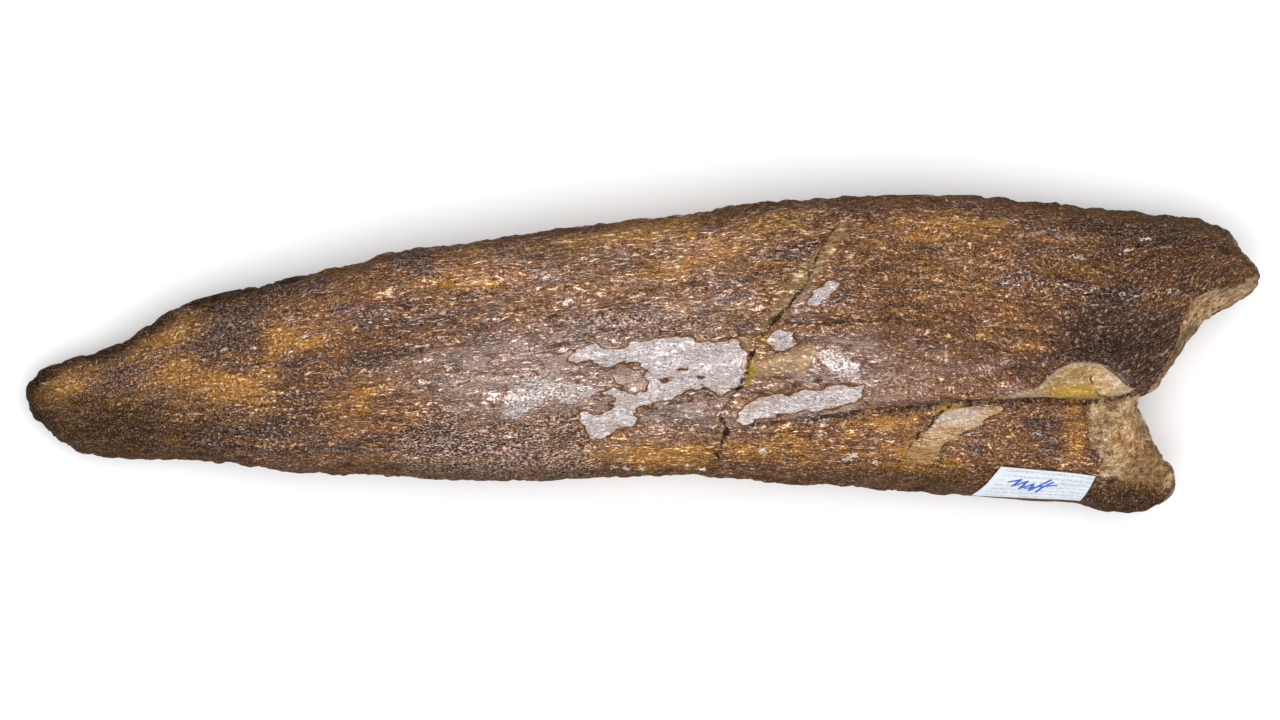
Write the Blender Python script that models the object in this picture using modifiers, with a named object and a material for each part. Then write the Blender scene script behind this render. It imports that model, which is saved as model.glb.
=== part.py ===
"""Fossil manatee rib fragment that lies on its inner face, with a paper label on one flank.

+X runs along the rib from the worn tip to the broken end, +Y across it, +Z up.
The rib is lofted from sections in a sketch frame in millimetres: x from the worn tip, y across,
z from the floor.
The last step moves it, in metres, so that the origin is at the bottom centre of the rib's box.
"""

import math

import bmesh
import bpy
import numpy as np
from mathutils import Vector, noise

MM = 0.001

# Sections of the rib, from the worn tip to past the break.
# x, lower edge y, crown y, upper edge y, underside z, widest z, top z
SECTIONS = np.array(
    (
        (0.0, -8.6, -6.6, -4.5, 4.6, 6.6, 8.8),
        (1.2, -10.6, -6.7, -3.6, 2.0, 6.2, 10.4),
        (3.5, -13.2, -6.9, -2.4, 0.4, 6.4, 12.4),
        (7.0, -16.2, -7.2, -1.2, -0.5, 6.8, 14.2),
        (11.0, -18.2, -7.4, -0.4, -0.7, 7.6, 16.0),
        (16.0, -18.9, -7.4, 0.8, -0.8, 8.6, 18.2),
        (22.0, -19.5, -7.2, 4.6, -0.8, 9.8, 20.6),
        (28.0, -19.3, -6.8, 8.5, -0.8, 10.8, 22.6),
        (36.0, -19.9, -6.5, 10.9, -0.6, 12.0, 24.9),
        (47.0, -21.2, -6.5, 13.5, 0.8, 13.8, 27.8),
        (58.0, -21.6, -6.5, 16.0, 2.4, 15.4, 30.4),
        (69.5, -21.9, -6.6, 19.0, 3.9, 16.8, 32.6),
        (80.0, -22.9, -6.6, 20.2, 5.0, 17.8, 34.4),
        (94.0, -23.3, -6.2, 22.4, 6.0, 19.0, 36.4),
        (108.0, -22.5, -5.0, 24.3, 6.5, 19.7, 37.6),
        (122.0, -22.1, -3.4, 25.6, 6.4, 19.9, 38.2),
        (134.0, -23.1, -1.6, 27.6, 5.8, 19.5, 38.3),
        (148.0, -24.0, 0.0, 28.7, 4.6, 18.7, 38.0),
        (162.0, -25.0, 1.2, 29.5, 3.0, 17.5, 37.2),
        (176.0, -26.2, 2.0, 29.3, 1.2, 16.0, 35.9),
        (188.0, -27.0, 2.4, 28.2, -0.3, 14.7, 34.5),
        (195.0, -27.4, 2.6, 27.6, -0.7, 14.2, 33.7),
        (202.0, -29.0, 2.9, 26.8, -0.9, 13.6, 32.6),
        (212.0, -29.8, 3.4, 25.6, -0.9, 13.0, 31.0),
        (224.0, -29.8, 4.0, 24.4, -0.2, 12.6, 28.8),
        (234.0, -29.8, 4.4, 23.6, 0.9, 12.4, 26.6),
    )
)
BODY_LENGTH = SECTIONS[-1, 0]
# Rings along the rib, closer together at the tip, and points round each
RINGS = 90
AROUND = 34
TIP_CROWDING = 1.25

# How square each quarter of a section is: 2 is an ellipse, more is boxier.
SQUARENESS = {"upper_top": 2.35, "lower_top": 2.35, "upper_under": 2.7, "lower_under": 2.6}

# The outer face steps down twice, from its upper band to the middle one and on to the lower one.
# Each step is a path of (x, y, height), and each is over STEP_EASE wide.
UPPER_STEP = (
    (165.0, 11.0, 0.0),
    (178.0, 12.4, 0.4),
    (192.0, 12.0, 0.6),
    (204.0, 11.6, 0.7),
    (218.0, 11.4, 0.5),
)
LOWER_STEP = (
    (131.0, -14.8, 0.0),
    (141.0, -13.4, 0.3),
    (150.0, -11.4, 0.7),
    (160.0, -10.3, 1.1),
    (171.0, -9.4, 1.6),
    (182.0, -8.6, 2.3),
    (192.0, -8.2, 3.0),
    (200.0, -7.9, 3.5),
    (214.0, -7.5, 3.8),
)
STEP_EASE = 1.6
# The steps fade out down the flanks, from this sine of the angle round the section.
STEP_FULL_FROM = 0.33

# The fissure that opens along the foot of the lower step: x, y, width, depth
FISSURE = (
    (131.0, -14.6, 0.5, 0.4),
    (141.0, -13.2, 0.6, 0.6),
    (150.0, -11.2, 0.7, 0.9),
    (160.0, -10.2, 0.8, 1.2),
    (171.0, -9.6, 1.0, 1.7),
    (182.0, -8.9, 1.2, 2.4),
    (192.0, -8.6, 1.4, 3.2),
    (200.0, -8.3, 1.6, 4.2),
    (212.0, -7.9, 1.8, 6.5),
)

# The mended crack that crosses the rib aslant, from the upper edge down: x, y, width, depth
CRACK = (
    (151.4, 24.6, 0.7, 0.6),
    (148.6, 19.0, 0.7, 0.8),
    (146.0, 14.2, 0.8, 0.9),
    (141.6, 9.0, 1.1, 1.2),
    (138.4, 4.4, 1.2, 1.5),
    (135.4, -0.6, 1.2, 1.8),
    (133.0, -5.0, 1.1, 1.8),
    (130.2, -9.4, 1.0, 1.6),
    (129.2, -14.8, 1.2, 1.4),
    (127.4, -18.6, 0.6, 0.5),
)
BLADE_RISE = 3.0

# The broken end seen from above: x, y, and how far the face leans back at the top.
BREAK = (
    (212.0, 34.0, 1.0),
    (216.4, 26.4, 1.0),
    (220.6, 23.9, 1.0),
    (223.4, 22.4, 1.2),
    (224.4, 20.1, 1.4),
    (226.6, 18.2, 1.2),
    (228.4, 16.4, 1.0),
    (228.8, 14.6, 1.6),
    (228.0, 12.6, 3.0),
    (225.6, 10.4, 4.6),
    (219.4, 6.8, 5.0),
    (216.2, 4.4, 2.8),
    (214.2, 1.4, 1.0),
    (212.0, -2.2, 0.8),
    (209.6, -6.2, 0.8),
    (207.4, -7.2, 0.8),
    (204.9, -7.6, 1.2),
    (206.4, -9.8, 3.0),
    (207.6, -13.4, 4.4),
    (209.8, -17.2, 4.4),
    (212.8, -21.4, 2.6),
    (213.4, -24.0, 1.4),
    (212.2, -26.2, 1.0),
    (208.4, -28.4, 1.0),
    (203.2, -30.2, 1.0),
    (198.0, -36.0, 1.0),
)
BREAK_SPACING = 2.2
BREAK_LEVELS = (-4.0, 2.0, 6.0, 10.0, 14.0, 18.0, 22.0, 26.0, 30.0, 34.0, 42.0)
LEAN_FROM = 15.0
LEAN_TO = 33.0
UNDERCUT = 2.4
BREAK_ROUGHNESS = 0.9
BREAK_GRAIN = (4.0, 4.0, 5.0)
FAR_X = 262.0

# Scoops out of the outer face are lists of rows across the rib.
# x, y and depth at the upper end, y and depth at the lower end, with depths under the form without steps
# A half-moon chip in the middle band's lower edge, which slopes down to the lower band:
CHIP = (
    (186.6, -7.6, 0.1, -8.9, 0.9),
    (188.4, -5.0, 0.3, -8.9, 2.2),
    (190.9, -2.9, 0.4, -8.9, 3.1),
    (195.5, -1.7, 0.5, -8.9, 3.7),
    (199.3, -2.6, 0.5, -8.9, 3.6),
    (202.2, -4.6, 0.4, -8.9, 2.8),
    (205.0, -7.0, 0.1, -8.9, 1.6),
)
# Outer bone flaked off the lower lobe, down to the paler inside:
FLAKE = (
    (196.6, -8.4, 4.3, -15.6, 3.9),
    (198.4, -8.4, 4.6, -18.0, 4.0),
    (199.6, -8.4, 4.8, -22.4, 4.1),
    (204.0, -8.4, 5.4, -24.0, 4.6),
    (209.0, -8.4, 6.4, -24.8, 5.6),
    (220.0, -8.4, 9.0, -25.4, 8.0),
)
SCOOP_POINTS = 4
SCOOP_TOP = 45.0

# Worn lumps: height, then wavelength along the rib and across it.
LUMPS = ((0.55, 34.0, 15.0), (0.40, 15.0, 6.0), (0.18, 7.0, 3.0))
LUMP_SEED = 4.7

# The label's corners on the flank: x, and the degrees round the section from its upper edge over the top.
LABEL_UPPER_LEFT = (180.4, 138.0)
LABEL_UPPER_RIGHT = (198.4, 140.5)
LABEL_LOWER_LEFT = (174.8, 168.5)
LABEL_LOWER_RIGHT = (195.6, 168.0)
LABEL_CLEARANCE = 0.40
LABEL_THICKNESS = 0.20
LABEL_COLUMNS = 14
LABEL_ROWS = 7
# The flank stays even under the label, and for a little way past it, in x and in degrees.
LABEL_BED_X = 2.5
LABEL_BED_TURN = 8.0

# Length, width and depth of the box that is taken off under the floor plane
FLOOR_BOX = (300.0, 120.0, 20.0)

BONE_COLOUR = (0.16, 0.085, 0.045)
BONE_ROUGHNESS = 0.5
PAPER_COLOUR = (0.78, 0.80, 0.84)
PAPER_ROUGHNESS = 0.55

# Small steps along and around the surface, to find its direction
NUDGE = 0.2
TURN_NUDGE = 0.01


def smooth_curve(x, xs, ys):
    """The value at x of a smooth curve through the points xs, ys."""
    i = int(np.clip(np.searchsorted(xs, x) - 1, 0, len(xs) - 2))
    slopes = np.gradient(ys, xs)
    span = xs[i + 1] - xs[i]
    t = min(max((x - xs[i]) / span, 0.0), 1.0)
    start = (1 + 2 * t) * (1 - t) ** 2 * ys[i] + t * (1 - t) ** 2 * span * slopes[i]
    end = t * t * (3 - 2 * t) * ys[i + 1] + t * t * (t - 1) * span * slopes[i + 1]
    return start + end


def section_at(x):
    """lower y, crown y, upper y, underside z, widest z and top z of the section at x."""
    return [smooth_curve(x, SECTIONS[:, 0], SECTIONS[:, k]) for k in range(1, 7)]


def eased(t):
    """0 below 0, 1 above 1, and smooth between."""
    t = min(max(t, 0.0), 1.0)
    return t * t * (3 - 2 * t)


def step_down(x, y):
    """How far the outer face lies below the rib's full form, past the steps between its bands."""
    total = 0.0
    for step in (UPPER_STEP, LOWER_STEP):
        path = np.array(step)
        edge = np.interp(x, path[:, 0], path[:, 1])
        height = np.interp(x, path[:, 0], path[:, 2])
        total += height * eased((edge - y) / STEP_EASE + 0.5)
    return total


def smooth_point(x, angle):
    """The point of the section at x, at this angle from the upper edge, counted through the top."""
    lower, crown, upper, under, widest, top = section_at(x)
    across, up = math.cos(angle), math.sin(angle)
    half_width = upper - crown if across > 0 else crown - lower
    half_height = top - widest if up > 0 else widest - under
    side = ("upper" if across > 0 else "lower") + ("_top" if up > 0 else "_under")
    power = 2 / SQUARENESS[side]
    y = crown + half_width * math.copysign(abs(across) ** power, across)
    z = widest + half_height * math.copysign(abs(up) ** power, up)
    if up > 0:
        z -= step_down(x, y) * eased(up / STEP_FULL_FROM)
    return Vector((x, y, z))


def outward(x, angle):
    """The direction straight out of the rib at this point of its smooth form."""
    along = smooth_point(x + NUDGE, angle) - smooth_point(x - NUDGE, angle)
    around = smooth_point(x, angle + TURN_NUDGE) - smooth_point(x, angle - TURN_NUDGE)
    return around.cross(along).normalized()


def label_bed(x, angle):
    """1 on the flank under the label, which stays even, and 0 away from it."""
    turn = math.degrees(angle)
    beyond_x = max(LABEL_LOWER_LEFT[0] - x, x - LABEL_UPPER_RIGHT[0], 0.0)
    beyond_turn = max(LABEL_UPPER_LEFT[1] - turn, turn - LABEL_LOWER_LEFT[1], 0.0)
    return 1 - eased(max(beyond_x / LABEL_BED_X, beyond_turn / LABEL_BED_TURN))


def lumps(point):
    """Height of the worn lumps at a point of the surface."""
    total = 0.0
    for k, (height, along, across) in enumerate(LUMPS):
        place = Vector((point.x / along, point.y / across, point.z / across))
        total += height * noise.noise(place + Vector((LUMP_SEED, 3.1 * k, 0.0)))
    return total


def form_height(x, y):
    """Height of the rib's full form over the plan point x, y, without steps and lumps."""
    lower, crown, upper, _, widest, top = section_at(x)
    side = "upper_top" if y > crown else "lower_top"
    half_width = upper - crown if y > crown else crown - lower
    squareness = SQUARENESS[side]
    out = min(abs(y - crown) / half_width, 0.999)
    rise = (1 - out**squareness) ** (1 / squareness)
    return widest + (top - widest) * rise


def finished(bm, name, collection):
    """An object in metres from a mesh drawn in the sketch frame, with its faces pointing out."""
    bmesh.ops.recalc_face_normals(bm, faces=bm.faces)
    bmesh.ops.scale(bm, vec=(MM, MM, MM), verts=bm.verts)
    mesh = bpy.data.meshes.new(name)
    bm.to_mesh(mesh)
    bm.free()
    obj = bpy.data.objects.new(name, mesh)
    collection.objects.link(obj)
    return obj


def lofted(rings, name, collection):
    """A closed solid through rings of points, with a flat cap at each end."""
    bm = bmesh.new()
    loops = [[bm.verts.new(point) for point in ring] for ring in rings]
    for first, second in zip(loops, loops[1:]):
        for k in range(len(first)):
            following = (k + 1) % len(first)
            bm.faces.new((first[k], first[following], second[following], second[k]))
    bm.faces.new(loops[0])
    bm.faces.new(loops[-1])
    bmesh.ops.triangulate(bm, faces=bm.faces)
    return finished(bm, name, collection)


def rib_body(collection):
    """The whole rib with its worn lumps, carried on past the break, which is cut later."""
    rings = []
    for i in range(RINGS):
        x = BODY_LENGTH * (i / (RINGS - 1)) ** TIP_CROWDING
        ring = []
        for k in range(AROUND):
            angle = 2 * math.pi * k / AROUND
            point = smooth_point(x, angle)
            rise = lumps(point) * (1 - label_bed(x, angle))
            ring.append(point + outward(x, angle) * rise)
        rings.append(ring)
    return lofted(rings, "rib_bone", collection)


def blade(path, name, collection):
    """A cutter for a V groove along a path of (x, y, width, depth) over the outer face."""
    rings = []
    for i, (x, y, width, depth) in enumerate(path):
        before, after = path[max(i - 1, 0)], path[min(i + 1, len(path) - 1)]
        run = Vector((after[0] - before[0], after[1] - before[1])).normalized()
        side = Vector((-run.y, run.x, 0.0))
        surface = Vector((x, y, form_height(x, y) - step_down(x, y)))
        spread = side * width / 2 * (1 + BLADE_RISE / depth)
        lip = surface + Vector((0, 0, BLADE_RISE))
        rings.append((lip + spread, lip - spread, surface - Vector((0, 0, depth))))
    return lofted(rings, name, collection)


def resampled(path, spacing):
    """Points at even distances along a path, each with all its values."""
    path = np.array(path)
    lengths = np.hypot(*np.diff(path[:, :2], axis=0).T)
    run = np.concatenate(([0.0], np.cumsum(lengths)))
    places = np.linspace(0.0, run[-1], round(run[-1] / spacing) + 1)
    return np.stack([np.interp(places, run, column) for column in path.T], axis=1)


def break_cutter(collection):
    """All that lies past the broken end. Its near side is the rough face of the break."""
    path = resampled(BREAK, BREAK_SPACING)
    run = np.gradient(path[:, :2], axis=0)
    run /= np.hypot(run[:, 0], run[:, 1])[:, None]
    inward = np.stack([run[:, 1], -run[:, 0]], axis=1)
    rings = []
    for z in BREAK_LEVELS:
        lean = eased((z - LEAN_FROM) / (LEAN_TO - LEAN_FROM))
        under = UNDERCUT * eased((LEAN_FROM - z) / LEAN_FROM)
        ring = []
        for (x, y, lean_back), (in_x, in_y) in zip(path, inward):
            grain = Vector((x / BREAK_GRAIN[0], y / BREAK_GRAIN[1], z / BREAK_GRAIN[2]))
            rough = BREAK_ROUGHNESS * noise.noise(grain)
            depth = lean_back * lean + under + rough
            ring.append((x + in_x * depth, y + in_y * depth, z))
        ring.append((FAR_X, path[-1, 1], z))
        ring.append((FAR_X, path[0, 1], z))
        rings.append(ring)
    return lofted(rings, "break_cutter", collection)


def scoop(rows, name, collection):
    """A cutter that takes off the outer face down to the rows' depths."""
    rings = []
    for x, upper_y, upper_depth, lower_y, lower_depth in rows:
        ys = np.linspace(upper_y, lower_y, SCOOP_POINTS)
        depths = np.linspace(upper_depth, lower_depth, SCOOP_POINTS)
        ring = [(x, y, form_height(x, y) - depth) for y, depth in zip(ys, depths)]
        ring += [(x, lower_y, SCOOP_TOP), (x, upper_y, SCOOP_TOP)]
        rings.append(ring)
    return lofted(rings, name, collection)


def floor_cutter(collection):
    """Everything under the floor plane, so that the worn feet are flat."""
    bm = bmesh.new()
    bmesh.ops.create_cube(bm, size=1.0)
    bmesh.ops.scale(bm, vec=FLOOR_BOX, verts=bm.verts)
    bmesh.ops.translate(bm, vec=(BODY_LENGTH / 2, 0.0, -FLOOR_BOX[2] / 2), verts=bm.verts)
    return finished(bm, "floor_cutter", collection)


def cut(target, cutter):
    """Takes the cutter out of the target and keeps it as a hidden helper."""
    cutter.hide_render = True
    cutter.display_type = "WIRE"
    modifier = target.modifiers.new(cutter.name, "BOOLEAN")
    modifier.operation = "DIFFERENCE"
    modifier.object = cutter


def label_sheet(collection):
    """The paper label, a thin sheet that follows the flank with a small gap of glue."""
    upper_left, upper_right = Vector(LABEL_UPPER_LEFT), Vector(LABEL_UPPER_RIGHT)
    lower_left, lower_right = Vector(LABEL_LOWER_LEFT), Vector(LABEL_LOWER_RIGHT)
    bm = bmesh.new()
    rows = []
    for r in range(LABEL_ROWS + 1):
        row = []
        for c in range(LABEL_COLUMNS + 1):
            high = upper_left.lerp(upper_right, c / LABEL_COLUMNS)
            low = lower_left.lerp(lower_right, c / LABEL_COLUMNS)
            x, turn = high.lerp(low, r / LABEL_ROWS)
            angle = math.radians(turn)
            point = smooth_point(x, angle) + outward(x, angle) * LABEL_CLEARANCE
            row.append(bm.verts.new(point))
        rows.append(row)
    for first, second in zip(rows, rows[1:]):
        for c in range(LABEL_COLUMNS):
            bm.faces.new((first[c], second[c], second[c + 1], first[c + 1]))
    label = finished(bm, "paper_label", collection)
    solidify = label.modifiers.new("thickness", "SOLIDIFY")
    solidify.thickness = LABEL_THICKNESS * MM
    solidify.offset = 1.0
    return label


def finish_with(obj, name, colour, roughness):
    """Gives an object its own plain material."""
    material = bpy.data.materials.new(name)
    material.use_nodes = True
    shader = material.node_tree.nodes["Principled BSDF"]
    shader.inputs["Base Color"].default_value = (*colour, 1.0)
    shader.inputs["Roughness"].default_value = roughness
    shader.inputs["Metallic"].default_value = 0.0
    obj.data.materials.append(material)


def centre_on_floor(objects, reference):
    """Moves the objects so that the origin is at the bottom centre of the reference's box."""
    graph = bpy.context.evaluated_depsgraph_get()
    mesh = reference.evaluated_get(graph).to_mesh()
    points = np.array([vertex.co for vertex in mesh.vertices])
    low, high = points.min(axis=0), points.max(axis=0)
    shift = Vector((-(low[0] + high[0]) / 2, -(low[1] + high[1]) / 2, -low[2]))
    for obj in objects:
        obj.location = shift


def main():
    for obj in list(bpy.data.objects):
        bpy.data.objects.remove(obj)
    parts = bpy.data.collections.new("fossil_rib_fragment")
    cutters = bpy.data.collections.new("cutters")
    bpy.context.scene.collection.children.link(parts)
    bpy.context.scene.collection.children.link(cutters)

    rib = rib_body(parts)
    tools = [
        break_cutter(cutters),
        scoop(FLAKE, "flake_cutter", cutters),
        blade(FISSURE, "fissure_cutter", cutters),
        blade(CRACK, "crack_cutter", cutters),
        scoop(CHIP, "chip_cutter", cutters),
        floor_cutter(cutters),
    ]
    for tool in tools:
        cut(rib, tool)
    label = label_sheet(parts)
    finish_with(rib, "fossil_bone", BONE_COLOUR, BONE_ROUGHNESS)
    finish_with(label, "label_paper", PAPER_COLOUR, PAPER_ROUGHNESS)
    bpy.context.view_layer.update()
    centre_on_floor([rib, label, *tools], rib)


main()
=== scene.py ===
"""Looks of a fossil manatee rib fragment with a paper label, on a pale floor, seen from straight above.

Places on the surface are given in the photograph's pixels, and turned into metres by the rib's length.
"""

import math

import bpy
import numpy as np
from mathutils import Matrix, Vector, noise
from mathutils.bvhtree import BVHTree


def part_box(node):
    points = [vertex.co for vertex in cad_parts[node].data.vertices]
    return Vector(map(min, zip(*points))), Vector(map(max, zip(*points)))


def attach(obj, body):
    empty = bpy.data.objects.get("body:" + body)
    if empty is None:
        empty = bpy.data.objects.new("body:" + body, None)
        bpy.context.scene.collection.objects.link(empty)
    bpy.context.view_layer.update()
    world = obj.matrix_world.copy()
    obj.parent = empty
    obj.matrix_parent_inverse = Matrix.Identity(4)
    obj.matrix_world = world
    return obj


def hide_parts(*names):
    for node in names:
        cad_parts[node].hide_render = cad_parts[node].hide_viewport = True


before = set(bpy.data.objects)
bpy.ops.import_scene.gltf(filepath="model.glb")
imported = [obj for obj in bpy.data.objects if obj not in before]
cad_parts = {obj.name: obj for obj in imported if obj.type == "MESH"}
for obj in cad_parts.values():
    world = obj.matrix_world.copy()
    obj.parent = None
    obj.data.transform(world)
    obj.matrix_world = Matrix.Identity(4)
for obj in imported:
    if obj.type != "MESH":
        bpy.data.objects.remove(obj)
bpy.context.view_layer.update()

MM = 0.001
RIB_LOW, RIB_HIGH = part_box("rib_bone")

# The photograph: its size, the columns of the rib's two ends and the row of its middle
PHOTO_SIZE = (1280, 720)
PHOTO_TIP = 24.0
PHOTO_FAR_END = 1260.0
PHOTO_MIDDLE_ROW = 354.5
PIXEL = (RIB_HIGH.x - RIB_LOW.x) / (PHOTO_FAR_END - PHOTO_TIP)
PIXEL_MM = PIXEL / MM

# The camera looks straight down through a long lens, and frames the photograph at SHARP_HEIGHT.
CAMERA_HEIGHT = 2.5
CAMERA_REACH = 50.0
SENSOR = 36.0
SHARP_HEIGHT = 0.016

# The surround, the soft light and the floor
WORLD_STRENGTH = 0.7
SOFTBOX_PLACE = Vector((0.2, -0.35, 3.0))
SOFTBOX_SIZE = (3.4, 2.6)
SOFTBOX_POWER = 100.0
SOFTBOX_COLOUR = (0.97, 0.98, 1.0)
FLOOR_HALF = 6.0
FLOOR_COLOUR = (0.86, 0.86, 0.86)

# The fine mesh and its smoothing. The places near the breaks, the tip and the feet keep out of it.
VOXEL = 0.62 * MM
SMOOTHING_ROUNDS = 26
SMOOTHING_STEP = 0.5
MOST_KEPT = 0.92
DETAIL_REACH_MM = (0.6, 2.2)
TIP_REACH_MM = (1.0, 4.0)
BREAK_STARTS_MM = (198, 204)
BREAK_KEPT = 0.75
FOOT_HEIGHT = 0.05 * MM

# The relief: how its noise falls off, where it stops, and how far it rises at most
FRACTAL_FALL = 0.9
FRACTAL_STEP = 2.0
BROW_FLOOR = 1.5 * MM
CRUST_FLOOR_MM = 11
FARTHEST_MM = 20.0
HIGHEST_RISE_MM = 0.45

# The grain follows the rib's edges in part, and bends round at the narrow tip. It is fibrous in the middle.
GRAIN_SLICES = 46
GRAIN_FOLLOW = 0.6
GRAIN_WAVER_MM = 1.2
ROUND_GRAIN_MM = 60.0
ROUND_GRAIN_BEND = 0.4
FIBROUS_FROM = (280, 420)
FIBROUS_TO = (820, 960)

# Zones of the outer face. Each is a list of outlines, in the photograph's pixels.
# The glazed patches of smooth intact surface, whose pale colour is partly their own and partly painted glare
GLAZE = (
    (
        (584, 349), (596, 345), (610, 352), (622, 350), (630, 343), (650, 342), (664, 337),
        (676, 335), (691, 338), (700, 341), (712, 343), (728, 341), (737, 340), (743, 350),
        (747, 362), (745, 376), (739, 384), (729, 389), (720, 395), (712, 392), (703, 387),
        (691, 389), (678, 394), (668, 398), (653, 403), (640, 408), (632, 413), (636, 420),
        (646, 426), (630, 428), (616, 430), (606, 435), (599, 441), (590, 435), (584, 424),
        (578, 414), (584, 410), (591, 415), (600, 418), (605, 412), (607, 407), (615, 403),
        (617, 399), (607, 395), (600, 393), (607, 391), (615, 389), (624, 391), (632, 395),
        (643, 392), (650, 384), (645, 377), (647, 368), (638, 363), (624, 361), (614, 366),
        (606, 367), (599, 363), (590, 361), (576, 362), (566, 359), (575, 353),
    ),
    ((766, 341), (770, 333), (780, 329), (790, 334), (796, 343), (788, 350), (774, 351)),
    ((806, 304), (808, 296), (817, 288), (830, 282), (839, 284), (834, 292), (822, 299), (814, 305)),
    ((736, 421), (742, 406), (760, 399), (785, 393), (812, 389), (840, 385), (862, 386), (862, 400),
     (828, 408), (800, 411), (766, 417), (745, 423)),
)
# Bare spots in the glaze
GLAZE_HOLES = (
    ((674, 369), (679, 366), (687, 367), (688, 370), (681, 372)),
    ((659, 380), (666, 377), (672, 379), (666, 382)),
    ((694, 377), (702, 375), (710, 376), (709, 379), (697, 380)),
    ((718, 366), (723, 365), (727, 368), (721, 370)),
)
# The two duller painted sheens beside the glaze
SHEEN = (
    ((504, 414), (506, 398), (518, 386), (534, 378), (549, 380), (558, 385), (582, 386), (600, 391),
     (590, 396), (576, 401), (563, 404), (551, 396), (542, 402), (532, 409), (518, 418)),
    ((820, 350), (838, 352), (856, 366), (858, 378), (838, 376), (820, 366)),
)
# The tan spot beside the crack
LENS = (
    ((748, 374), (754, 363), (768, 358), (784, 353), (800, 345), (813, 342), (816, 350), (811, 362),
     (803, 371), (788, 374), (770, 376), (758, 378)),
)
# Soft patches: column, row, half length, half width, turn in degrees, then warmth, lightness and painted
# sheen
# The lightness is partly the bone's own tone and partly painted light and shade, darker at both ends and
# lighter in the middle
TONES = (
    (62, 384, 62, 16, 16, 0.85, 0.2, 0),
    (28, 402, 20, 40, 0, 0.0, -1.2, 0),
    (104, 428, 110, 30, -6, 0.35, -1.5, 0),
    (250, 430, 110, 26, -2, -0.4, -0.45, 0),
    (115, 376, 28, 15, 35, -0.6, -0.3, 0),
    (168, 330, 44, 10, 34, 1.2, 0.2, 0),
    (190, 372, 52, 15, -12, 0.9, 0.2, 0),
    (240, 390, 38, 14, 0, 0.85, 0.4, 0),
    (228, 338, 40, 19, 15, -0.6, -0.45, 0),
    (276, 340, 14, 34, -8, 1.0, 0.1, 0),
    (304, 336, 36, 16, 0, 0.75, 0.35, 0),
    (320, 298, 50, 12, 14, 0.1, -0.2, 0),
    (370, 314, 30, 11, 0, -0.6, 0.45, 0),
    (352, 366, 60, 14, 3, -0.3, -0.1, 0),
    (354, 412, 36, 14, 0, 0.5, 0.25, 0),
    (414, 404, 24, 12, 0, 0.4, 0.2, 0),
    (370, 446, 90, 16, -3, 0.0, 0.2, 0),
    (418, 266, 22, 13, 0, -0.8, -0.4, 0),
    (462, 276, 44, 20, 8, 0.6, 0.25, 0),
    (250, 300, 60, 12, 16, -0.3, -0.5, 0),
    (410, 336, 60, 26, 6, -0.3, -0.25, 0),
    (560, 270, 190, 50, 6, -0.1, 0.25, 0.1),
    (490, 352, 70, 16, 6, -0.4, 0.15, 0.2),
    (540, 252, 36, 16, 6, 0.1, -0.3, 0),
    (585, 326, 76, 9, 0, -0.4, 0.25, 0.2),
    (640, 232, 70, 13, 6, 1.4, 0.4, 0),
    (668, 270, 40, 12, 4, 0.9, 0.15, 0),
    (715, 250, 30, 24, 0, 0.2, 0.2, 0),
    (765, 228, 36, 11, 8, 0.8, -0.1, 0),
    (700, 308, 70, 12, 3, -0.2, 0.35, 0.3),
    (500, 450, 76, 22, 0, -0.5, 0.45, 0.2),
    (655, 456, 70, 14, -2, 1.3, 0.8, 0),
    (772, 452, 46, 12, -4, 0.6, 0.2, 0),
    (872, 446, 110, 24, 0, 0.25, 0.35, 0),
    (750, 346, 13, 16, 0, 1.2, 0.35, 0),
    (900, 262, 80, 26, 0, 0.4, -0.2, 0),
    (970, 224, 44, 11, -8, 0.7, 0.15, 0),
    (930, 340, 80, 34, 0, 0.1, -0.35, 0),
    (1030, 350, 60, 36, 0, 0.0, -0.5, 0),
    (1128, 346, 72, 50, -12, -0.9, -1.4, 0),
    (1172, 378, 22, 26, -30, 0.5, 0.1, 0),
    (1010, 330, 60, 30, 0, 0.2, 0.15, 0),
    (1170, 256, 110, 40, -8, 0.0, -0.9, 0),
    (1100, 222, 90, 14, -8, 0.1, -0.3, 0),
    (1060, 264, 60, 16, -4, 0.3, -0.35, 0),
    (940, 474, 70, 14, -4, 0.4, -0.6, 0),
    (1044, 430, 24, 20, 0, -0.3, -0.5, 0),
    (1072, 430, 13, 34, 0, 0.75, 0.35, 0),
    (1128, 500, 60, 16, 0, 0.0, -1.3, 0),
    (1130, 430, 14, 30, -20, 0.6, 0.6, 0),
    (1100, 430, 10, 40, 0, -0.4, -0.9, 0),
    (1130, 478, 30, 14, 0, 0.6, -0.8, 0),
    (1152, 458, 34, 20, 0, 1.0, -0.3, 0),
    (886, 421, 34, 7, 4, 0.6, 0.4, 0),
    (910, 453, 14, 12, 0, 1.3, 0.0, 0),
    (640, 330, 270, 120, 6, 0.0, 0.2, 0.22),
    (510, 388, 70, 30, 10, 0.1, 0.35, 0.8),
    (450, 370, 70, 34, 6, 0.1, 0.15, 0.4),
    (640, 380, 120, 50, 4, 0.1, 0.3, 0.75),
    (560, 350, 60, 22, 4, 0.0, 0.2, 0.8),
    (676, 410, 60, 16, 4, -0.4, 0.15, 0.5),
    (838, 364, 46, 30, 8, 0.0, 0.3, 1.0),
    (800, 410, 80, 11, 8, 0.0, 0.1, 0.7),
    (920, 376, 90, 34, 6, 0.0, 0.1, 0.35),
    (810, 300, 30, 12, 30, 0.0, 0.2, 0.6),
    (958, 417, 26, 9, 12, 0.0, 0.0, 1.0),
    (1110, 382, 18, 14, -30, 0.0, 0.0, 0.7),
    (1012, 392, 20, 9, 0, -1.0, 0.5, 0.3),
)
# The painted shade along the steep upper edge of the narrow tip
RIM = (
    ((20, 384), (34, 366), (60, 354), (98, 344), (130, 326), (176, 298), (240, 282), (300, 268),
     (304, 275), (240, 296), (184, 310), (140, 338), (104, 358), (60, 366), (42, 380), (30, 396)),
)
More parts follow.
